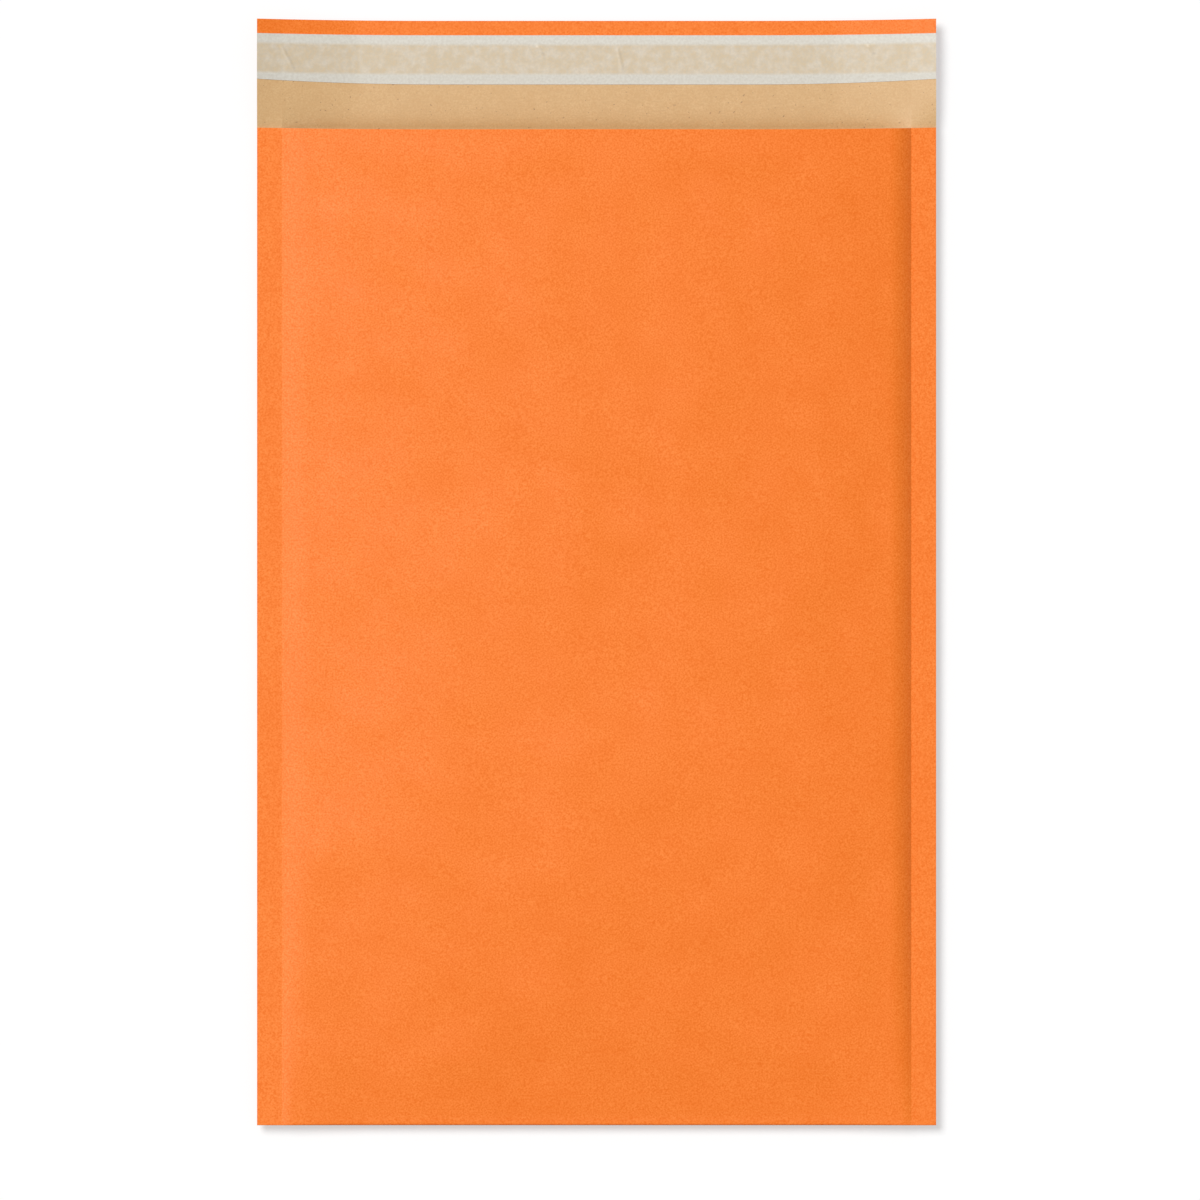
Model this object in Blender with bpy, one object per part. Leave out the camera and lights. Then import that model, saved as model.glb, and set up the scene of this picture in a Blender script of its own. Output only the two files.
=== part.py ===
"""A padded envelope: an orange paper sheet folded round a cushioned brown paper bag, with a self-seal flap.

It lies open on its back panel with its front panel up, as it comes out of the pack. X runs across the
envelope, +Y from the bottom fold to the flap's edge and +Z up. The origin is at table level under the
middle of the outline. Lengths are in metres.

Every sheet is a grid of columns across the envelope and rows along its folded length. A row is a
stretch of that length and a share of it: down the flap, down the back panel, round the bottom fold and
up the front panel.
"""

import math

import bmesh
import bpy
from mathutils import Vector

# Outline, laid flat
WIDTH = 0.240
POCKET_LENGTH = 0.3525
FLAP_LENGTH = 0.0386
SEAM_WIDTH = 0.0085
EDGE_BOW = 0.0007  # how far the mouth and the flap's edge dip in the middle
BOW_START = 0.45  # share of the half width where those edges leave the straight

# Layers, from the outside in
OUTER_PAPER = 0.0002
PAD = 0.0015
LINER_PAPER = 0.0002
GLUE = 0.00015
CLEARANCE = 0.0003  # between layers that touch

# The cushion inside the walls
PAD_INSET = 0.0035  # from the seam to the cushion's side edge
PAD_RUN = 0.014  # from the seam to where the cushion is at full thickness
PAD_SETBACK = 0.008  # from the mouth to the cushion's end
FOLD_PRESS = 0.6  # share of its thickness left in the cushion at the bottom fold

# How the envelope lies
SEAM_LIFT = 0.003  # the seams stand this high off the table
SEAM_DROOP = 0.0004  # and their outer edges this much lower
BACK_ROUND = 0.030  # the back panel comes down to the table over this width
SHOULDER_RUN = 0.0045  # the front panel's steep rise beside the seam
POCKET_GAP = 0.0064  # between the pocket's walls in the middle of the mouth
BOTTOM_RUN = 0.150  # from the bottom fold to where the pocket is fully open
CORNER_LIFT = 0.005  # the flap's side edges curl up this far
CURL_REACH = 0.050
TIP_LIFT = 0.0015  # the flap's edge rises this much in the middle

# Closure on the flap
STRIP_SETBACK = 0.00495  # from the flap's edge to the release strip
STRIP_WIDTH = 0.0174
STRIP_BOW = 0.00125  # the strip's lower edge rises this much more at its ends
STRIP_PAPER = 0.00015
ADHESIVE_MARGIN = 0.0034  # the release strip overhangs the adhesive's upper edge by this much
ADHESIVE_WIDTH = 0.0103
ADHESIVE = 0.00025
LINER_SETBACK = 0.0068  # from the flap's edge to the liner's end

GLUE_MARGIN = 0.00125  # bare paper all round each glue line in a side seam

# Fineness of the grids
CROWN_COLUMNS = 9
FLAP_ROWS = 4
BACK_ROWS = 5
FOLD_ROWS = 6
FRONT_ROWS = 9
LIP_ROWS = 3

SHARP_EDGE = math.radians(40)

HALF_WIDTH = WIDTH / 2
POCKET_HALF = HALF_WIDTH - SEAM_WIDTH
SEAM_GAP = GLUE + 2 * CLEARANCE
MIDDLE_Y = (POCKET_LENGTH + FLAP_LENGTH) / 2


def mix(low, high, share):
    return low + (high - low) * share


def ease_out(distance, run):
    """Goes from 0 to 1 over the run, steeply at first and level at its end."""
    return 1 - (1 - min(max(distance / run, 0), 1)) ** 2


def smooth(share):
    share = min(max(share, 0), 1)
    return share * share * (3 - 2 * share)


def inward(x):
    """Distance from the side seam's inner edge towards the middle."""
    return POCKET_HALF - abs(x)


def corner(x):
    """0 in the middle of a bowed edge, 1 at its ends."""
    return max(0, (abs(x) / HALF_WIDTH - BOW_START) / (1 - BOW_START)) ** 2


def mouth(x):
    return POCKET_LENGTH - EDGE_BOW * (1 - corner(x))


def back(x):
    """Height of the back panel's underside."""
    if inward(x) < 0:
        return SEAM_LIFT + SEAM_DROOP * inward(x) / SEAM_WIDTH
    return SEAM_LIFT * (1 - ease_out(inward(x), BACK_ROUND))


def room(x, press):
    """Space between the outer sheet and the liner, with the cushion pressed to a share of its thickness."""
    return CLEARANCE + (PAD * press + CLEARANCE) * ease_out(inward(x), PAD_RUN)


def wall(x, press):
    return OUTER_PAPER + room(x, press) + LINER_PAPER


def fold_radius(x):
    """Outer radius of the bottom fold, where both walls and the closed pocket turn together."""
    return wall(x, FOLD_PRESS) + SEAM_GAP / 2


def crest(x):
    """Height of the front panel's face where the pocket is fully open."""
    seam_top = back(x) if inward(x) < 0 else SEAM_LIFT
    seam_top += 2 * wall(HALF_WIDTH, 1) + SEAM_GAP
    if inward(x) < 0:
        return seam_top
    rise = 2 * wall(0, 1) + POCKET_GAP - seam_top
    shoulder = PAD * (1 - math.exp(-inward(x) / SHOULDER_RUN))
    return seam_top + shoulder + (rise - PAD) * ease_out(inward(x), POCKET_HALF)


def opened(x, y):
    """0 at the bottom fold, 1 where the pocket is fully open."""
    return ease_out(y - fold_radius(x), BOTTOM_RUN)


def press_at(x, y):
    return mix(FOLD_PRESS, 1, opened(x, y))


def front(x, y):
    """Height of the front panel's face."""
    full_gap = crest(x) - back(x) - 2 * wall(x, 1)
    gap = mix(SEAM_GAP, full_gap, opened(x, y))
    return back(x) + 2 * wall(x, press_at(x, y)) + gap


def flap_height(x, share):
    """Height of the flap's underside, a share of the way from the mouth to the flap's edge."""
    curl = CORNER_LIFT * (1 - ease_out(HALF_WIDTH - abs(x), CURL_REACH))
    return mix(back(x), curl, share) + TIP_LIFT * share**2


def on_flap(x, from_edge, depth):
    """A point on the flap, at a distance from its edge and a depth above its underside."""
    share = 1 - from_edge / FLAP_LENGTH
    return Vector((x, mouth(x) + share * FLAP_LENGTH - MIDDLE_Y, flap_height(x, share) + depth))


def outer_outside(x, y):
    return 0


def outer_inside(x, y):
    return OUTER_PAPER


def pad_outside(x, y):
    return OUTER_PAPER + CLEARANCE


def pad_inside(x, y):
    return OUTER_PAPER + room(x, press_at(x, y)) - CLEARANCE


def liner_outside(x, y):
    """The liner comes up to the outer sheet between the cushion's end and the mouth."""
    past_pad = smooth((y - mouth(x) + PAD_SETBACK) / PAD_SETBACK)
    return OUTER_PAPER + mix(room(x, press_at(x, y)), CLEARANCE, past_pad)


def liner_inside(x, y):
    return liner_outside(x, y) + LINER_PAPER


def along_wall(x, share):
    """Distance from the bottom fold along a panel. Shares past 1 are the lip beyond the cushion."""
    start = fold_radius(x)
    pad_end = mouth(x) - PAD_SETBACK
    if share <= 1:
        return mix(start, pad_end, share)
    return pad_end + (share - 1) * PAD_SETBACK


def on_sheet(x, row, depth):
    """A point of a folded sheet's face, at its depth inside the envelope's outer skin."""
    stretch, share = row
    if stretch == "flap":
        edge = POCKET_LENGTH + FLAP_LENGTH
        return on_flap(x, (1 - share) * FLAP_LENGTH, depth(x, edge))
    if stretch == "fold":
        radius = fold_radius(x)
        reach = radius - depth(x, radius)
        turn = math.pi * (share - 0.5)
        y = radius - reach * math.cos(turn)
        z = back(x) + radius + reach * math.sin(turn)
    else:
        y = along_wall(x, share)
        z = back(x) + depth(x, y) if stretch == "back" else front(x, y) - depth(x, y)
    return Vector((x, y - MIDDLE_Y, z))


def columns(first_inward):
    """Positions across the envelope, closest together beside the seams, from a given line inwards."""
    steps = [-SEAM_WIDTH, 0, PAD_INSET / 2, PAD_INSET]
    for step in range(1, CROWN_COLUMNS + 1):
        steps.append(mix(PAD_INSET, POCKET_HALF, (step / CROWN_COLUMNS) ** 2))
    left = [step - POCKET_HALF for step in steps if step >= first_inward]
    return left + [-x for x in reversed(left[:-1])]


def shares(count, low=0, high=1):
    return [mix(low, high, step / count) for step in range(count + 1)]


def sheet_rows(flap_end, lip):
    """Rows of a folded sheet, from its end on the flap to its end at the front panel's mouth."""
    rows = []
    if flap_end:
        rows += [("flap", share) for share in reversed(shares(FLAP_ROWS, 0, flap_end))][:-1]
    if lip:
        rows += [("back", share) for share in reversed(shares(LIP_ROWS, 1, 2))][:-1]
    rows += [("back", share) for share in reversed(shares(BACK_ROWS))][:-1]
    rows += [("fold", share) for share in shares(FOLD_ROWS)][:-1]
    rows += [("front", share) for share in shares(FRONT_ROWS)]
    if lip:
        rows += [("front", share) for share in shares(LIP_ROWS, 1, 2)][1:]
    return rows


def material(name, colour, roughness):
    finish = bpy.data.materials.new(name)
    finish.use_nodes = True
    shader = finish.node_tree.nodes["Principled BSDF"]
    shader.inputs["Base Color"].default_value = (*colour, 1)
    shader.inputs["Roughness"].default_value = roughness
    shader.inputs["Metallic"].default_value = 0
    return finish


def closed_sheet(name, finish, across, along, lower, upper):
    """A closed sheet between two faces, each a function of a position across and a row along."""
    mesh = bmesh.new()
    bmesh.ops.create_grid(mesh, x_segments=len(across) - 1, y_segments=len(along) - 1, size=0.5)
    lower_side = set(mesh.verts)
    bmesh.ops.extrude_face_region(mesh, geom=mesh.faces[:])
    for vertex in mesh.verts:
        x = across[round((vertex.co.x + 0.5) * (len(across) - 1))]
        row = along[round((vertex.co.y + 0.5) * (len(along) - 1))]
        vertex.co = lower(x, row) if vertex in lower_side else upper(x, row)
    bmesh.ops.recalc_face_normals(mesh, faces=mesh.faces)
    data = bpy.data.meshes.new(name)
    mesh.to_mesh(data)
    mesh.free()
    data.shade_smooth()
    data.set_sharp_from_angle(angle=SHARP_EDGE)
    data.materials.append(finish)
    piece = bpy.data.objects.new(name, data)
    bpy.context.scene.collection.objects.link(piece)
    return piece


def folded_sheet(name, finish, across, along, outside, inside):
    return closed_sheet(
        name,
        finish,
        across,
        along,
        lambda x, row: on_sheet(x, row, outside),
        lambda x, row: on_sheet(x, row, inside),
    )


def outer_sheet():
    orange = material("orange_kraft_paper", (0.91, 0.215, 0.04), 0.75)
    return folded_sheet(
        "outer_sheet", orange, columns(-SEAM_WIDTH), sheet_rows(1, True), outer_outside, outer_inside
    )


def inner_liner():
    brown = material("brown_kraft_paper", (0.66, 0.42, 0.215), 0.8)
    end = 1 - LINER_SETBACK / FLAP_LENGTH
    return folded_sheet(
        "inner_liner", brown, columns(-SEAM_WIDTH), sheet_rows(end, True), liner_outside, liner_inside
    )


def padding():
    grey = material("grey_paper_padding", (0.46, 0.43, 0.38), 0.95)
    return folded_sheet(
        "padding", grey, columns(PAD_INSET), sheet_rows(0, False), pad_outside, pad_inside
    )


def side_glue(name, side):
    """The glue line that holds the liner's two walls together in a side seam."""
    clear_glue = material(name, (0.75, 0.62, 0.42), 0.35)
    outer_line = side * (HALF_WIDTH - GLUE_MARGIN)
    inner_line = side * (POCKET_HALF + GLUE_MARGIN)
    under = OUTER_PAPER + CLEARANCE + LINER_PAPER + CLEARANCE

    def face(x, end, depth):
        low = 2 * fold_radius(HALF_WIDTH) + GLUE_MARGIN
        y = mix(low, mouth(x) - GLUE_MARGIN, end)
        return Vector((x, y - MIDDLE_Y, back(x) + depth))

    return closed_sheet(
        name,
        clear_glue,
        sorted((outer_line, inner_line)),
        [0, 1],
        lambda x, end: face(x, end, under),
        lambda x, end: face(x, end, under + GLUE),
    )


def flap_strip(name, finish, top, bottom, bow, under, thickness):
    """A strip laid across the flap between two distances from its edge."""

    def face(x, share, depth):
        return on_flap(x, mix(bottom - bow * corner(x), top, share), depth)

    return closed_sheet(
        name,
        finish,
        columns(-SEAM_WIDTH),
        shares(FLAP_ROWS),
        lambda x, share: face(x, share, under),
        lambda x, share: face(x, share, under + thickness),
    )


def closure():
    """The adhesive band on the flap and the release strip that covers it."""
    amber = material("seal_adhesive", (0.69, 0.57, 0.42), 0.3)
    pale = material("release_paper", (0.72, 0.69, 0.61), 0.45)
    adhesive_under = OUTER_PAPER + CLEARANCE + LINER_PAPER + CLEARANCE
    strip_under = adhesive_under + ADHESIVE + CLEARANCE
    adhesive_top = STRIP_SETBACK + ADHESIVE_MARGIN
    adhesive_bottom = adhesive_top + ADHESIVE_WIDTH
    strip_bottom = STRIP_SETBACK + STRIP_WIDTH
    flap_strip(
        "adhesive_strip", amber, adhesive_top, adhesive_bottom, 0, adhesive_under, ADHESIVE
    )
    flap_strip(
        "release_strip", pale, STRIP_SETBACK, strip_bottom, STRIP_BOW, strip_under, STRIP_PAPER
    )


def main():
    for old in list(bpy.data.objects):
        bpy.data.objects.remove(old)
    outer_sheet()
    inner_liner()
    padding()
    side_glue("side_glue_left", -1)
    side_glue("side_glue_right", 1)
    closure()


main()
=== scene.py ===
"""The looks of a padded envelope that lies flat and open on its back panel, front panel up.

An orange kraft sheet is folded round a cushioned brown liner and glued along both sides. The flap shows
the liner and a release strip over the adhesive. X runs across the envelope, +Y from the bottom fold to
the flap's edge and +Z up. Lengths are in metres.
"""

import math

import bmesh
import bpy
from mathutils import Matrix, Vector, noise


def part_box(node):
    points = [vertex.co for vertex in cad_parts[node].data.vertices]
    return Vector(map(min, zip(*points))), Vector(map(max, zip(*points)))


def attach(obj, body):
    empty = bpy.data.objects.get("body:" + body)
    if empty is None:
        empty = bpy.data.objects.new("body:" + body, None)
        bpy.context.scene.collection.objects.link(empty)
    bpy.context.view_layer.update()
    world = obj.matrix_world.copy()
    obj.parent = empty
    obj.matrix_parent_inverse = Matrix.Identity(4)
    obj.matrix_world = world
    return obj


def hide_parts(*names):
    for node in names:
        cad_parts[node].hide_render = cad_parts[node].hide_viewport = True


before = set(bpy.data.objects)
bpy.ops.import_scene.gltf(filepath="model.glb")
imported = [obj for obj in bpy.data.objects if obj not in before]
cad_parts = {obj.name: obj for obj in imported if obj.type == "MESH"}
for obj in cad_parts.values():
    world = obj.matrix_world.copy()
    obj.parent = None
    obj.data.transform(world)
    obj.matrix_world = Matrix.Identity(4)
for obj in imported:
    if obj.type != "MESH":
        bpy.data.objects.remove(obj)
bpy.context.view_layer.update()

# Outline, from the solids
outer_low, outer_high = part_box("outer_sheet")
HALF_WIDTH = outer_high.x
MIDDLE_Y = (outer_high.y - outer_low.y) / 2
FLAP_LENGTH = 0.0385
POCKET_LENGTH = 2 * MIDDLE_Y - FLAP_LENGTH
SEAM_WIDTH = 0.0088
POCKET_HALF = HALF_WIDTH - SEAM_WIDTH
EDGE_BOW = 0.0007  # how far the middle of the mouth and of the flap's edge lies back from their corners
BOW_START = 0.45  # share of the half width where a bowed edge starts to bend

# Layers, from the outside in
OUTER_PAPER = 0.0002
PAD = 0.00204
LINER_PAPER = 0.00018
GLUE = 0.00012
TOUCH = 0.00004  # air between layers that lie on each other
SEAM_GAP = GLUE + 2 * TOUCH
ON_LINER = OUTER_PAPER + TOUCH + LINER_PAPER + TOUCH  # depth of a piece that lies on the bare liner
GLUE_MARGIN = 0.00125  # bare paper all round a seam's glue

# The cushion inside the walls
PAD_INSET = 0.0035  # from a side seam to the cushion's edge
PAD_RUN = 0.026  # from a side seam to the cushion's full thickness
PAD_BLUNT = 0.13  # share of the cushion's thickness that it reaches quickly
PAD_BLUNT_RUN = 0.004
PAD_SETBACK = 0.008  # from the mouth to the cushion's end
FOLD_PRESS = 0.84  # share of the cushion's thickness that is left at the bottom fold
FOLD_POWER = 0.27  # 1 is a round bottom fold, less is a squarer one

# How the envelope lies
FRONT_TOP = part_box("outer_sheet")[1].z
SEAM_LIFT = 0.00355  # height of the side seams over the table
SEAM_DROOP = 0.00015  # a side seam's fall to its outer edge
BACK_ROUND = 0.030  # run of the back panel's rise to a side seam
CREST_ROUND_LEFT = 2  # how squarely the front panel bulges: 2 is a parabola, more is a squarer curve
CREST_ROUND_RIGHT = 2.7
SHOULDER_LEFT = 0.0010  # the front panel's steep rise beside each seam, and its run
SHOULDER_LEFT_RUN = 0.0100
SHOULDER_RIGHT = 0.0021
SHOULDER_RIGHT_RUN = 0.0075
SHOULDER_OPENING = 0.090  # from the bottom fold to the shoulders' full height
BOTTOM_RUN = 0.150  # from the bottom fold to the fully open pocket
LIP_DROP = 0.00015  # the front panel's fall towards its mouth
LIP_RUN = 0.012
CORNER_LIFT_LEFT = 0.0056  # how high the flap's corners curl
CORNER_LIFT_RIGHT = 0.0043
CURL_REACH = 0.036  # from the flap's ends to where the curl starts
CURL_POWER = 1.3
CURL_SETTLE_LEFT = 0.5  # share of the flap over which the back panel's form gives way to the curl
CURL_SETTLE_RIGHT = 0.3
TIP_LIFT = 0.0004  # the flap's rise towards its edge
HINGE_LIFT = 0.0009  # the flap's quick rise beyond the mouth
HINGE_RUN = 0.003
HINGE_AT_SEAMS = 0.3  # share of that rise that is left at the side seams

# Closure on the flap
LINER_SETBACK = 0.0068  # from the flap's edge to the liner's
STRIP_SETBACK = 0.0051  # from the flap's edge to the release strip's
STRIP_WIDTH = 0.0174
STRIP_BOW = 0.00125  # how much narrower the release strip is at its ends
STRIP_PAPER = 0.0001
STRIP_SINK = 0.0034  # how far the release strip takes to come down to the liner beside the adhesive
STRIP_COLUMNS = 640  # enough for the creases
STRIP_ROWS = 44
ADHESIVE_MARGIN = 0.0034
ADHESIVE_WIDTH = 0.0103
ADHESIVE = 0.00005
ADHESIVE_TOP = STRIP_SETBACK + ADHESIVE_MARGIN  # the band's two edges, from the flap's edge
ADHESIVE_LOW = ADHESIVE_TOP + ADHESIVE_WIDTH

# Creases of the release strip over the adhesive: X and lean to the right, reach down from the adhesive's
# top edge, and height
CREASES = [
    (-0.1119, 0.0053, 0.0101, 0.00030),
    (-0.0212, 0.0024, 0.0038, 0.00028),
    (0.0071, 0.0023, 0.0101, 0.00022),
    (0.0955, 0.0029, 0.0038, 0.00028),
]
CREASE_WIDTH = 0.0005
CREASE_CUT = 4  # widths from its ridge at which a crease ends
CREASE_TAPER = 0.25  # share of its reach over which a crease fades at each end

# Waves of the cushion that show through the front panel, drawn out from upper left to lower right
WAVE_HEIGHT = 0.0006
WAVE_LENGTH = 0.042
WAVE_WIDTH = 0.021
WAVE_FADE = 0.018
WAVE_SLICE = 0.4  # the slice of the noise that the waves are taken from
FINER_TIMES = 2.3  # how many times smaller the finer waves are
FINER_SHARE = 0.4  # their share of the height
FINER_SLICE = 5.1

# Meshes
SEAM_CROWDING = 2.2  # how much closer the columns stand at the seams' inner edges: 1 is evenly spaced
PANEL_CROWDING = 1.8
SHARP_EDGE = math.radians(50)  # edges that turn more than this stay crisp

# Colours of the papers and of what is glued to them
ORANGE_DEEP = (0.956, 0.219, 0.013, 1)
ORANGE_BRIGHT = (0.980, 0.240, 0.020, 1)
ORANGE_GRAIN = (0.864, 0.164, 0.008, 1)
BROWN_DEEP = (0.655, 0.413, 0.185, 1)
BROWN_BRIGHT = (0.698, 0.452, 0.211, 1)
BROWN_GRAIN = (0.604, 0.348, 0.139, 1)
FIBRE_BROWN = (0.609, 0.365, 0.157, 1)
FLECK_BROWN = (0.371, 0.194, 0.077, 1)
RELEASE_PALE = (0.700, 0.672, 0.597, 1)
RELEASE_GRAIN = (0.55, 0.50, 0.42, 1)
STUCK_DEEP = (0.648, 0.518, 0.344, 1)
STUCK_BRIGHT = (0.704, 0.611, 0.482, 1)
WADDING_GREY = (0.46, 0.43, 0.38, 1)
GLUE_HONEY = (0.75, 0.62, 0.42, 1)
ADHESIVE_TAN = (0.69, 0.57, 0.42, 1)

# Grain of the papers
NOISE_LOW = 0.3  # the range that the noise fills, apart from its rare ends
NOISE_HIGH = 0.7
CLOUD_LOW = 0.35
CLOUD_HIGH = 0.65
KRAFT_GRAIN = 0.0006
RELIEF = 0.00002
PLAIN_RELIEF = 0.00003
PLAIN_SHADE = 0.85  # a plain finish's darker spots, as a share of its colour
FIBRE_TURNS = (0.35, -0.5, 1.2)
FIBRE_STRETCH = (9, 1, 1)
BAND_BLUR = 0.0005  # half the width over which the release paper turns tan at the adhesive's edges
FLAT_MAP = "flat"  # a sheet's map, in metres across it and from the flap's edge

# The Mix node's sockets when it mixes colours
MIX_SHARE = 0
MIX_FIRST = 6
MIX_SECOND = 7
MIX_RESULT = 2

# Light and floor
KEY_SHARE = 0.75  # of the light on a level face, and the rest comes from all round
AMBIENT = 0.25
KEY_ELEVATION = math.radians(54)
KEY_TURN = math.radians(135)  # towards the upper left
KEY_SPREAD = math.radians(30)
FLOOR_GAP = 0.0002  # below the back panel, so that the two faces stay apart
FLOOR_HALF = 4  # half the floor's width
FLOOR_TONE = 0.48
FLOOR_GLOW = 0.53  # brings the floor to white for the camera
WHITE = (1, 1, 1, 1)

# Camera
SENSOR = 36  # in millimetres
FRAME_WIDTH = 0.42415  # what the frame shows across, at the middle height
MIDDLE_HEIGHT = 0.0035
CAMERA_HEIGHT = 8.0
CAMERA_X = 0.0012
CAMERA_Y = -0.0099
FAR_LIMIT = 20


def mix(low, high, share):
    return low + (high - low) * share


def ease_out(distance, run):
    """Goes from 0 to 1 over the run, steeply at first and level at its end."""
    return 1 - (1 - min(max(distance / run, 0), 1)) ** 2


def smooth(share):
    """Goes from 0 to 1, level at both ends."""
    share = min(max(share, 0), 1)
    return share * share * (3 - 2 * share)


def inward(x):
    """Distance from the side seam's inner edge towards the middle."""
    return POCKET_HALF - abs(x)


def to_right(x):
    """0 at the left seam, 1 at the right one."""
    return smooth(0.5 + x / (2 * POCKET_HALF))


def to_corner(x):
    """0 in the middle of a bowed edge, 1 at its ends."""
    return max(0, (abs(x) / HALF_WIDTH - BOW_START) / (1 - BOW_START)) ** 2


def mouth(x):
    """Distance from the bottom fold to the mouth."""
    return POCKET_LENGTH - EDGE_BOW * (1 - to_corner(x))


def back(x):
    """Height of the back panel's underside."""
    if inward(x) < 0:
        return SEAM_LIFT + SEAM_DROOP * inward(x) / SEAM_WIDTH
    return SEAM_LIFT * (1 - ease_out(inward(x), BACK_ROUND))


def room(x, press):
    """Space between the outer sheet and the liner, with the cushion pressed to a share of its thickness."""
    share = mix(ease_out(inward(x), PAD_RUN), ease_out(inward(x), PAD_BLUNT_RUN), PAD_BLUNT)
    return TOUCH + (PAD * press + TOUCH) * share


def wall(x, press):
    """Thickness of the outer sheet, the cushion and the liner together."""
    return OUTER_PAPER + room(x, press) + LINER_PAPER


def fold_radius(x):
    """Outer radius of the bottom fold."""
    return wall(x, FOLD_PRESS) + SEAM_GAP / 2


def shoulder_height(x):
    """Height of the steep rise beside the seams, which changes evenly from the left seam to the right."""
    return mix(SHOULDER_LEFT, SHOULDER_RIGHT, to_right(x))


def crest(x):
    """Height of the front panel's face where the pocket is fully open, without its shoulders."""
    seam_top = back(x) if inward(x) < 0 else SEAM_LIFT
    seam_top += 2 * wall(HALF_WIDTH, 1) + SEAM_GAP
    roundness = mix(CREST_ROUND_LEFT, CREST_ROUND_RIGHT, to_right(x))
    rise = 1 - (1 - max(inward(x), 0) / POCKET_HALF) ** roundness
    return seam_top + (FRONT_TOP - seam_top - shoulder_height(x)) * rise


def shoulder(x, y):
    """The front panel's steep rise beside a seam."""
    run = SHOULDER_LEFT_RUN if x < 0 else SHOULDER_RIGHT_RUN
    return shoulder_height(x) * ease_out(inward(x), run) * ease_out(y - fold_radius(x), SHOULDER_OPENING)


def opened(x, y):
    """0 at the bottom fold, 1 where the pocket is fully open."""
    return ease_out(y - fold_radius(x), BOTTOM_RUN)


def press_at(x, y):
    """Share of the cushion's full thickness that it has at a place."""
    return mix(FOLD_PRESS, 1, opened(x, y))


def waves(x, y):
    """Height of the front panel's waves, which fade towards its edges."""
    inside = smooth(inward(x) / WAVE_FADE) * smooth((y - WAVE_FADE / 2) / WAVE_FADE)
    inside *= smooth((mouth(x) - y) / WAVE_FADE)
    if not inside:
        return 0
    down = (x - y) * math.sqrt(0.5)
    over = (x + y) * math.sqrt(0.5)
    wide = noise.noise(Vector((down / WAVE_LENGTH, over / WAVE_WIDTH, WAVE_SLICE)))
    down *= FINER_TIMES
    over *= FINER_TIMES
    narrow = noise.noise(Vector((down / WAVE_LENGTH, over / WAVE_WIDTH, FINER_SLICE)))
    return inside * WAVE_HEIGHT * (wide + FINER_SHARE * narrow)


def front(x, y):
    """Height of the front panel's face."""
    full_gap = crest(x) - back(x) - 2 * wall(x, 1)
    full_gap -= LIP_DROP * smooth((y - mouth(x)) / LIP_RUN + 1) * smooth(inward(x) / LIP_RUN)
    gap = mix(SEAM_GAP, full_gap, opened(x, y))
    return back(x) + 2 * wall(x, press_at(x, y)) + gap + shoulder(x, y) + waves(x, y)


def flap_height(x, share):
    """Height of the flap's underside, a share of the way from the mouth to the flap's edge."""
    curl = CORNER_LIFT_LEFT if x < 0 else CORNER_LIFT_RIGHT
    curl *= max(0, 1 - (HALF_WIDTH - abs(x)) / CURL_REACH) ** CURL_POWER
    hinge = HINGE_LIFT * (1 - math.exp(-share * FLAP_LENGTH / HINGE_RUN))
    hinge *= mix(HINGE_AT_SEAMS, 1, ease_out(inward(x), BACK_ROUND))
    settled = ease_out(share, CURL_SETTLE_LEFT if x < 0 else CURL_SETTLE_RIGHT)
    return mix(back(x), curl, settled) + hinge + TIP_LIFT * ease_out(share, 1)


def on_flap(x, from_edge, depth):
    """A point on the flap, at a distance from its edge and a depth above its underside."""
    share = 1 - from_edge / FLAP_LENGTH
    return Vector((x, mouth(x) + share * FLAP_LENGTH - MIDDLE_Y, flap_height(x, share) + depth))


# Depth of each face inside the envelope's outer skin
def outer_outside(x, y):
    return 0


def outer_inside(x, y):
    return OUTER_PAPER


def pad_outside(x, y):
    return OUTER_PAPER + TOUCH


def pad_inside(x, y):
    return OUTER_PAPER + room(x, press_at(x, y)) - TOUCH


def liner_outside(x, y):
    """The liner comes up to the outer sheet between the cushion's end and the mouth."""
    past_pad = smooth((y - mouth(x) + PAD_SETBACK) / PAD_SETBACK)
    return OUTER_PAPER + mix(room(x, press_at(x, y)), TOUCH, past_pad)


def liner_inside(x, y):
    return liner_outside(x, y) + LINER_PAPER


def along_wall(x, share):
    """Distance from the bottom fold along a panel. Shares past 1 are the lip beyond the cushion."""
    start = fold_radius(x)
    pad_end = mouth(x) - PAD_SETBACK
    if share <= 1:
        return mix(start, pad_end, share)
    return pad_end + (share - 1) * PAD_SETBACK


def on_sheet(x, row, depth):
    """A point of a folded sheet's face, at its depth inside the envelope's outer skin."""
    stretch, share = row
    if stretch == "flap":
        edge = POCKET_LENGTH + FLAP_LENGTH
        return on_flap(x, (1 - share) * FLAP_LENGTH, depth(x, edge))
    if stretch == "fold":
        radius = fold_radius(x)
        reach = radius - depth(x, radius)
        turn = math.pi * (share - 0.5)
        y = radius - reach * abs(math.cos(turn)) ** FOLD_POWER
        z = back(x) + radius + reach * math.copysign(abs(math.sin(turn)) ** FOLD_POWER, turn)
    else:
        y = along_wall(x, share)
        z = back(x) + depth(x, y) if stretch == "back" else front(x, y) - depth(x, y)
    return Vector((x, y - MIDDLE_Y, z))


def shares(count, low=0, high=1):
    """Evenly spaced values from low to high, both ends included."""
    return [mix(low, high, step / count) for step in range(count + 1)]


def columns(seam_steps, panel_steps, start=0):
    """Positions across the envelope, closest together at the side seams' inner edges.

    They start at the outer edges or, without steps in the seams, at a distance inside the seams.
    """
    inside = [mix(start, POCKET_HALF, share**PANEL_CROWDING) for share in shares(panel_steps)]
    if seam_steps:
        inside = [-SEAM_WIDTH * share**SEAM_CROWDING for share in shares(seam_steps, 1, 0)][:-1] + inside
    left = [distance - POCKET_HALF for distance in inside]
    return left + [-x for x in reversed(left[:-1])]


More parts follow.
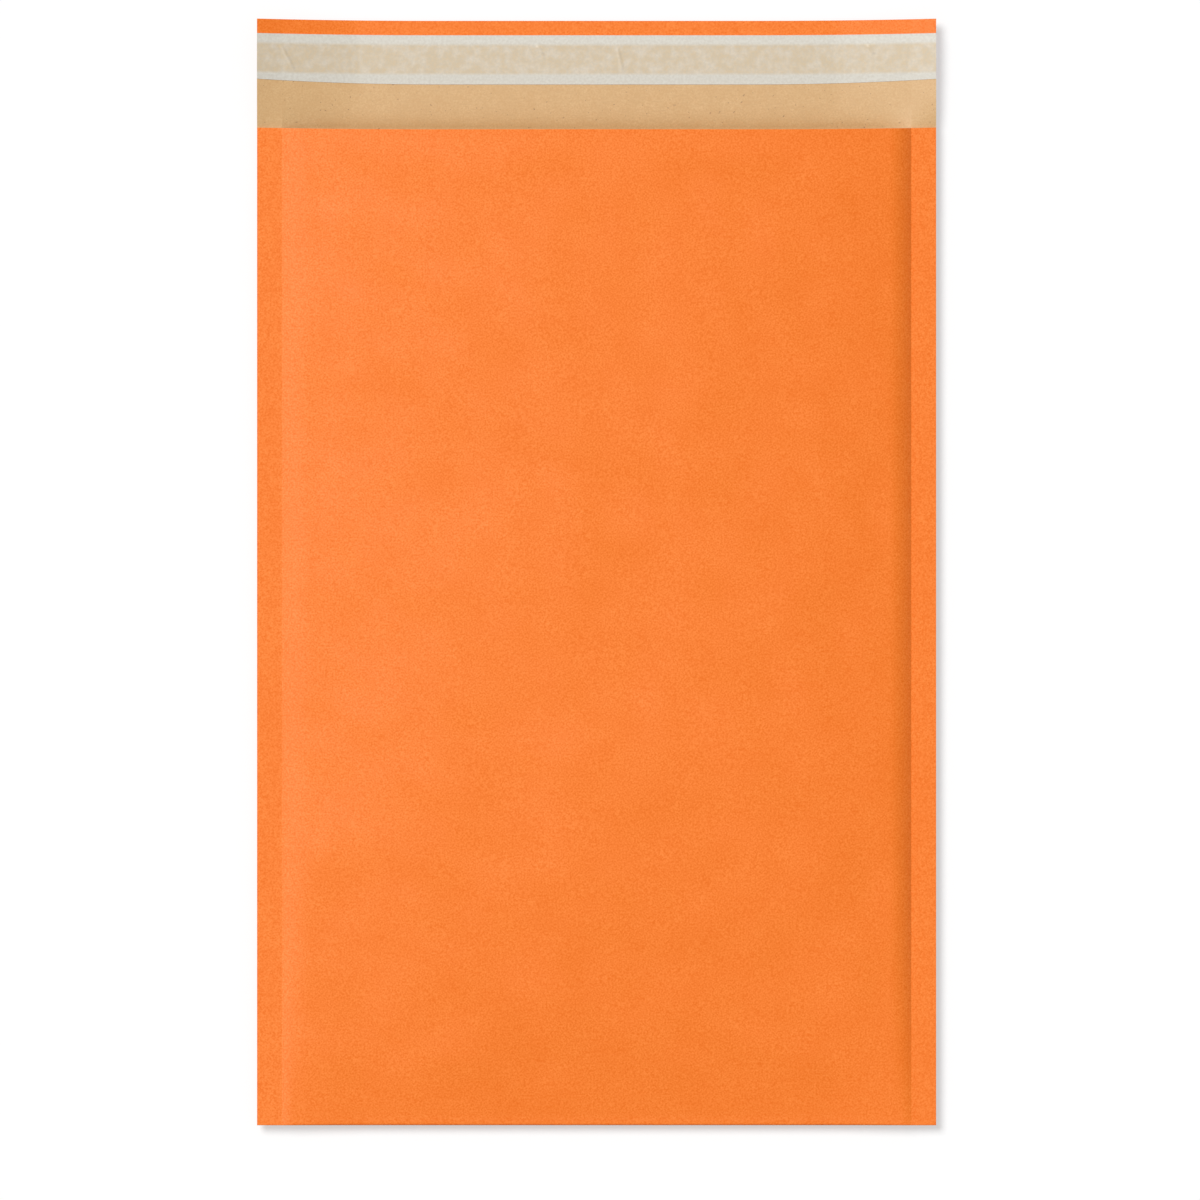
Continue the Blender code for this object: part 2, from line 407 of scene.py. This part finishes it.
def sheet_rows(back_steps, fold_steps, front_steps, lip_steps=0, flap_steps=0, flap_end=1):
    """Rows of a folded sheet, from its end on the flap to its end at the front panel's mouth."""
    rows = []
    if flap_steps:
        rows += [("flap", share) for share in reversed(shares(flap_steps, 0, flap_end))][:-1]
    if lip_steps:
        rows += [("back", share) for share in reversed(shares(lip_steps, 1, 2))][:-1]
    rows += [("back", share) for share in reversed(shares(back_steps))][:-1]
    rows += [("fold", share) for share in shares(fold_steps)][:-1]
    rows += [("front", share) for share in shares(front_steps)]
    if lip_steps:
        rows += [("front", share) for share in shares(lip_steps, 1, 2)][1:]
    return rows


def in_order_of_place(parts, place):
    """Sorts a mesh's points or faces by where they are, because the extrusion orders them anew each run."""
    for rank, part in enumerate(sorted(parts, key=place)):
        part.index = rank
    parts.sort()


def closed_sheet(name, finish, node, across, along, lower, upper, chart=None):
    """A closed sheet between two faces, each a function of a position across and a row along.

    It starts as a flat grid one unit wide. A chart gives each point its place on the flat sheet, as a
    UV map.
    """
    mesh = bmesh.new()
    bmesh.ops.create_grid(mesh, x_segments=len(across) - 1, y_segments=len(along) - 1, size=0.5)
    lower_side = set(mesh.verts)
    bmesh.ops.extrude_face_region(mesh, geom=mesh.faces[:])
    flat = mesh.loops.layers.uv.new(FLAT_MAP) if chart else None
    for vertex in mesh.verts:
        x = across[round((vertex.co.x + 0.5) * (len(across) - 1))]
        row = along[round((vertex.co.y + 0.5) * (len(along) - 1))]
        vertex.co = lower(x, row) if vertex in lower_side else upper(x, row)
        if chart:
            for loop in vertex.link_loops:
                loop[flat].uv = chart(x, row)
    in_order_of_place(mesh.verts, lambda vertex: vertex.co.to_tuple())
    in_order_of_place(mesh.faces, lambda face: face.calc_center_median().to_tuple())
    bmesh.ops.recalc_face_normals(mesh, faces=mesh.faces)
    data = bpy.data.meshes.new(name)
    mesh.to_mesh(data)
    mesh.free()
    data.shade_smooth()
    data.set_sharp_from_angle(angle=SHARP_EDGE)
    data.materials.append(finish)
    piece = bpy.data.objects.new(name, data)
    bpy.context.scene.collection.objects.link(piece)
    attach(piece, "root")
    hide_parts(node)
    return piece


def folded_sheet(name, finish, node, across, along, outside, inside):
    """A closed sheet that follows the envelope from the flap round the bottom fold to the mouth."""
    return closed_sheet(
        name, finish, node, across, along,
        lambda x, row: on_sheet(x, row, outside),
        lambda x, row: on_sheet(x, row, inside),
    )


class Finish:
    """A paper's material: its shader, and the nodes that vary its colour and relief over the sheet."""

    def __init__(self, name, roughness):
        self.material = bpy.data.materials.new(name)
        self.material.use_nodes = True
        self.tree = self.material.node_tree
        self.shader = self.tree.nodes["Principled BSDF"]
        self.shader.inputs["Roughness"].default_value = roughness
        self.place = self.node("ShaderNodeTexCoord").outputs["Object"]

    def node(self, kind, **settings):
        made = self.tree.nodes.new(kind)
        for name, value in settings.items():
            setattr(made, name, value)
        return made

    def feed(self, socket, value):
        """Links a node's output to a socket, or sets the socket's own value."""
        if isinstance(value, bpy.types.NodeSocket):
            self.tree.links.new(value, socket)
        else:
            socket.default_value = value

    def grain(self, size, detail=2.0, stretch=(1, 1, 1), turn=0.0):
        """Noise whose spots are about the given size, drawn out along X, Y or Z."""
        mapping = self.node("ShaderNodeMapping")
        mapping.inputs["Rotation"].default_value = (0, 0, turn)
        mapping.inputs["Scale"].default_value = tuple(1 / part for part in stretch)
        self.feed(mapping.inputs["Vector"], self.place)
        spots = self.node("ShaderNodeTexNoise")
        self.feed(spots.inputs["Vector"], mapping.outputs["Vector"])
        spots.inputs["Scale"].default_value = 1 / size
        spots.inputs["Detail"].default_value = detail
        return spots.outputs["Fac"]

    def spread(self, value, low=NOISE_LOW, high=NOISE_HIGH, to_low=0.0, to_high=1.0):
        """Maps a range of a value onto another, and stops at its ends."""
        ranged = self.node("ShaderNodeMapRange")
        for name, part in zip(("Value", "From Min", "From Max", "To Min", "To Max"),
                              (value, low, high, to_low, to_high)):
            self.feed(ranged.inputs[name], part)
        return ranged.outputs["Result"]

    def blend(self, share, first, second):
        """Mixes two colours by a share."""
        mixed = self.node("ShaderNodeMix", data_type="RGBA")
        self.feed(mixed.inputs[MIX_SHARE], share)
        self.feed(mixed.inputs[MIX_FIRST], first)
        self.feed(mixed.inputs[MIX_SECOND], second)
        return mixed.outputs[MIX_RESULT]

    def complete(self, colour, relief, depth):
        """Gives the shader its colour and its relief, and returns the material."""
        self.feed(self.shader.inputs["Base Color"], colour)
        bump = self.node("ShaderNodeBump")
        bump.inputs["Distance"].default_value = depth
        self.feed(bump.inputs["Height"], relief)
        self.feed(self.shader.inputs["Normal"], bump.outputs["Normal"])
        return self.material


def orange_kraft():
    """Orange kraft paper: a satin sheet with a fine grain and faint clouds."""
    paper = Finish("orange_kraft", roughness=0.47)
    clouds = paper.spread(paper.grain(0.012, detail=5.0), CLOUD_LOW, CLOUD_HIGH)
    colour = paper.blend(clouds, ORANGE_DEEP, ORANGE_BRIGHT)
    fine = paper.grain(KRAFT_GRAIN, detail=3.0)
    colour = paper.blend(paper.spread(fine), ORANGE_GRAIN, colour)
    paper.feed(paper.shader.inputs["Specular IOR Level"], paper.spread(fine, to_low=0.25, to_high=0.59))
    return paper.complete(colour, fine, RELIEF)


def brown_kraft():
    """Unbleached kraft liner with long fibres and small dark flecks."""
    paper = Finish("brown_kraft", roughness=0.5)
    paper.shader.inputs["Specular IOR Level"].default_value = 0.8
    clouds = paper.spread(paper.grain(0.006), CLOUD_LOW, CLOUD_HIGH)
    colour = paper.blend(clouds, BROWN_DEEP, BROWN_BRIGHT)
    fine = paper.grain(KRAFT_GRAIN, detail=3.0)
    colour = paper.blend(paper.spread(fine), BROWN_GRAIN, colour)
    for turn in FIBRE_TURNS:
        fibres = paper.grain(0.0004, detail=1.0, stretch=FIBRE_STRETCH, turn=turn)
        colour = paper.blend(paper.spread(fibres, low=0.64, high=0.74), colour, FIBRE_BROWN)
    flecks = paper.grain(0.0009, detail=1.0)
    colour = paper.blend(paper.spread(flecks, low=0.72, high=0.78), colour, FLECK_BROWN)
    return paper.complete(colour, fine, RELIEF)


def glassine():
    """Thin pale release paper, tan and mottled where it lies on the adhesive."""
    paper = Finish("glassine", roughness=0.45)
    flat = paper.node("ShaderNodeUVMap", uv_map=FLAT_MAP).outputs["UV"]
    parts = paper.node("ShaderNodeSeparateXYZ")
    paper.feed(parts.inputs["Vector"], flat)
    from_edge = parts.outputs["Y"]
    below_top = paper.spread(from_edge, ADHESIVE_TOP - BAND_BLUR, ADHESIVE_TOP + BAND_BLUR)
    above_low = paper.spread(from_edge, ADHESIVE_LOW + BAND_BLUR, ADHESIVE_LOW - BAND_BLUR)
    mottle = paper.spread(paper.grain(0.0028, detail=5.0), low=0.40, high=0.70)
    stuck = paper.blend(mottle, STUCK_DEEP, STUCK_BRIGHT)
    colour = paper.blend(below_top, RELEASE_PALE, paper.blend(above_low, RELEASE_PALE, stuck))
    fine = paper.grain(0.0009, detail=4.0)
    speckle = paper.spread(fine, low=0.37, high=0.63, to_low=0.40, to_high=0)
    colour = paper.blend(speckle, colour, RELEASE_GRAIN)
    return paper.complete(colour, fine, RELIEF)


def plain(name, colour, roughness):
    """A small hidden piece's finish: an even colour with a little grain."""
    paper = Finish(name, roughness)
    fine = paper.grain(KRAFT_GRAIN)
    darker = (*(part * PLAIN_SHADE for part in colour[:3]), 1)
    return paper.complete(paper.blend(paper.spread(fine), darker, colour), fine, PLAIN_RELIEF)


def outer_paper():
    """The orange sheet: front panel, bottom fold, back panel and flap."""
    across = columns(seam_steps=8, panel_steps=70)
    along = sheet_rows(back_steps=40, fold_steps=18, front_steps=180, lip_steps=8, flap_steps=24)
    folded_sheet("outer_paper", orange_kraft(), "outer_sheet",
                 across, along, outer_outside, outer_inside)


def kraft_liner():
    """The brown sheet that lines the pocket and runs up the flap to behind the release strip."""
    across = columns(seam_steps=6, panel_steps=50)
    along = sheet_rows(back_steps=40, fold_steps=12, front_steps=120, lip_steps=8,
                       flap_steps=30, flap_end=1 - LINER_SETBACK / FLAP_LENGTH)
    folded_sheet("kraft_liner", brown_kraft(), "inner_liner",
                 across, along, liner_outside, liner_inside)


def cushion():
    """The grey wadding between the two papers."""
    across = columns(seam_steps=0, panel_steps=40, start=PAD_INSET)
    along = sheet_rows(back_steps=40, fold_steps=8, front_steps=100)
    grey = plain("grey_wadding", WADDING_GREY, roughness=0.95)
    piece = folded_sheet("wadding", grey, "padding",
                         across, along, pad_outside, pad_inside)


def seam_glue(side_name, side):
    """The glue line that holds the liner's two walls together in a side seam."""
    name = f"seam_glue_{side_name}"
    outer_line = side * (HALF_WIDTH - GLUE_MARGIN)
    inner_line = side * (POCKET_HALF + GLUE_MARGIN)
    low_end = 2 * fold_radius(HALF_WIDTH) + GLUE_MARGIN

    def face(x, share, depth):
        y = mix(low_end, mouth(x) - GLUE_MARGIN, share)
        return Vector((x, y - MIDDLE_Y, back(x) + depth))

    closed_sheet(name, plain(name, GLUE_HONEY, roughness=0.35), f"side_glue_{side_name}",
                 sorted((outer_line, inner_line)), shares(40),
                 lambda x, share: face(x, share, ON_LINER),
                 lambda x, share: face(x, share, ON_LINER + GLUE))


def adhesive_band():
    """The adhesive on the flap's liner."""

    def face(x, share, depth):
        return on_flap(x, mix(ADHESIVE_LOW, ADHESIVE_TOP, share), depth)

    tan = plain("adhesive", ADHESIVE_TAN, roughness=0.3)
    closed_sheet("adhesive_band", tan, "adhesive_strip",
                 columns(seam_steps=6, panel_steps=60), shares(6),
                 lambda x, share: face(x, share, ON_LINER),
                 lambda x, share: face(x, share, ON_LINER + ADHESIVE))


def creases(x, from_edge):
    """Height of the release strip's creases, each a narrow leaning ridge."""
    rise = 0
    for start, lean, reach, height in CREASES:
        down = (from_edge - ADHESIVE_TOP) / reach
        off = (x - start - lean * down) / CREASE_WIDTH
        if abs(off) < CREASE_CUT and 0 < down < 1:
            ridge = height * math.exp(-off * off)
            rise += ridge * smooth(down / CREASE_TAPER) * smooth((1 - down) / CREASE_TAPER)
    return rise


def release_paper():
    """The pale strip that lies over the adhesive and comes down to the liner beside it."""

    def from_flap_edge(x, share):
        """Distance from the flap's edge, a share of the way up the strip."""
        return mix(STRIP_SETBACK + STRIP_WIDTH - STRIP_BOW * to_corner(x), STRIP_SETBACK, share)

    def face(x, share, depth):
        from_edge = from_flap_edge(x, share)
        beside = max(ADHESIVE_TOP - from_edge, from_edge - ADHESIVE_LOW, 0)
        rise = (ADHESIVE + TOUCH) * (1 - smooth(beside / STRIP_SINK)) + creases(x, from_edge)
        return on_flap(x, from_edge, ON_LINER + rise + depth)

    closed_sheet("release_paper", glassine(), "release_strip",
                 shares(STRIP_COLUMNS, -HALF_WIDTH, HALF_WIDTH), shares(STRIP_ROWS),
                 lambda x, share: face(x, share, 0),
                 lambda x, share: face(x, share, STRIP_PAPER),
                 chart=lambda x, share: (x, from_flap_edge(x, share)))


def emission_for_eyes(material_tree, strength):
    """An emission that only the camera, reflections and glass see."""
    path = material_tree.nodes.new("ShaderNodeLightPath")
    seen = path.outputs["Is Camera Ray"]
    for name in ("Is Glossy Ray", "Is Transmission Ray"):
        larger = material_tree.nodes.new("ShaderNodeMath")
        larger.operation = "MAXIMUM"
        material_tree.links.new(seen, larger.inputs[0])
        material_tree.links.new(path.outputs[name], larger.inputs[1])
        seen = larger.outputs[0]
    scaled = material_tree.nodes.new("ShaderNodeMath")
    scaled.operation = "MULTIPLY"
    scaled.inputs[1].default_value = strength
    material_tree.links.new(seen, scaled.inputs[0])
    return scaled.outputs[0]


def pale_floor():
    """A white tabletop that keeps the envelope's shadow."""
    mesh = bmesh.new()
    bmesh.ops.create_grid(mesh, x_segments=1, y_segments=1, size=FLOOR_HALF,
                          matrix=Matrix.Translation((0, 0, -FLOOR_GAP)))
    data = bpy.data.meshes.new("floor")
    mesh.to_mesh(data)
    mesh.free()
    floor = bpy.data.objects.new("floor", data)
    bpy.context.scene.collection.objects.link(floor)
    white = bpy.data.materials.new("white_floor")
    white.use_nodes = True
    shader = white.node_tree.nodes["Principled BSDF"]
    shader.inputs["Base Color"].default_value = (FLOOR_TONE, FLOOR_TONE, FLOOR_TONE, 1)
    shader.inputs["Roughness"].default_value = 1
    shader.inputs["Specular IOR Level"].default_value = 0
    shader.inputs["Emission Color"].default_value = WHITE
    strength = emission_for_eyes(white.node_tree, FLOOR_GLOW)
    white.node_tree.links.new(strength, shader.inputs["Emission Strength"])
    data.materials.append(white)


def studio():
    """Soft light from everywhere, a wide key light from the upper left, and a white surround."""
    world = bpy.data.worlds.new("studio")
    bpy.context.scene.world = world
    world.use_nodes = True
    background = world.node_tree.nodes["Background"]
    background.inputs["Color"].default_value = WHITE
    strength = world.node_tree.nodes.new("ShaderNodeMath")
    strength.operation = "MAXIMUM"
    strength.inputs[1].default_value = AMBIENT
    world.node_tree.links.new(emission_for_eyes(world.node_tree, 1), strength.inputs[0])
    world.node_tree.links.new(strength.outputs[0], background.inputs["Strength"])

    key = bpy.data.lights.new("key", "SUN")
    key.angle = KEY_SPREAD
    key.energy = KEY_SHARE * math.pi / math.sin(KEY_ELEVATION)
    lamp = bpy.data.objects.new("key", key)
    lamp.rotation_euler = (0, math.pi / 2 - KEY_ELEVATION, KEY_TURN)
    bpy.context.scene.collection.objects.link(lamp)


def camera():
    """Looks straight down from far above, as the photograph does."""
    lens = bpy.data.cameras.new("camera")
    lens.sensor_width = SENSOR
    lens.lens = SENSOR * (CAMERA_HEIGHT - MIDDLE_HEIGHT) / FRAME_WIDTH
    lens.clip_end = FAR_LIMIT
    view = bpy.data.objects.new("camera", lens)
    view.location = (CAMERA_X, CAMERA_Y, CAMERA_HEIGHT)
    bpy.context.scene.collection.objects.link(view)
    bpy.context.scene.camera = view


bpy.context.scene.view_settings.view_transform = "Standard"
camera()
studio()
pale_floor()
outer_paper()
kraft_liner()
cushion()
seam_glue("left", -1)
seam_glue("right", 1)
adhesive_band()
release_paper()
